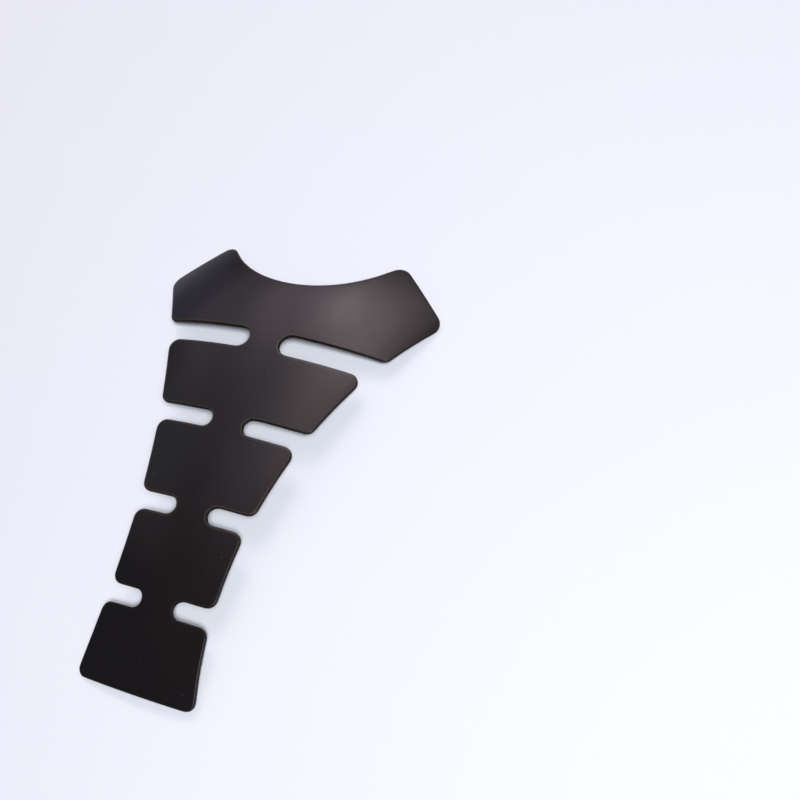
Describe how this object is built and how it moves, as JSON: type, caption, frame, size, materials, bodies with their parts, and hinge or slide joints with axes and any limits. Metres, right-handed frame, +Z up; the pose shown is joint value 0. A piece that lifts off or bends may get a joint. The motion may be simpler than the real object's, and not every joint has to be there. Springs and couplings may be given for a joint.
{
  "type": "motorcycle tank pad",
  "caption": "Thin moulded pad cut like a spine with a wing on top, stuck to a motorcycle's fuel tank to save its paint from the rider's belt and jacket.",
  "frame": {"origin": "Middle of the footprint, on the surface that the pad rests on", "axes": "X across the pad, Y along it from the foot to the wing, Z up from the hollow back to the face"},
  "size_m": [0.1436, 0.2182, 0.0196],
  "materials": {
    "pad": "smooth satin-gloss black polyurethane"
  },
  "bodies": {
    "root": {"tank_pad": "pad"}
  },
  "joints": []
}
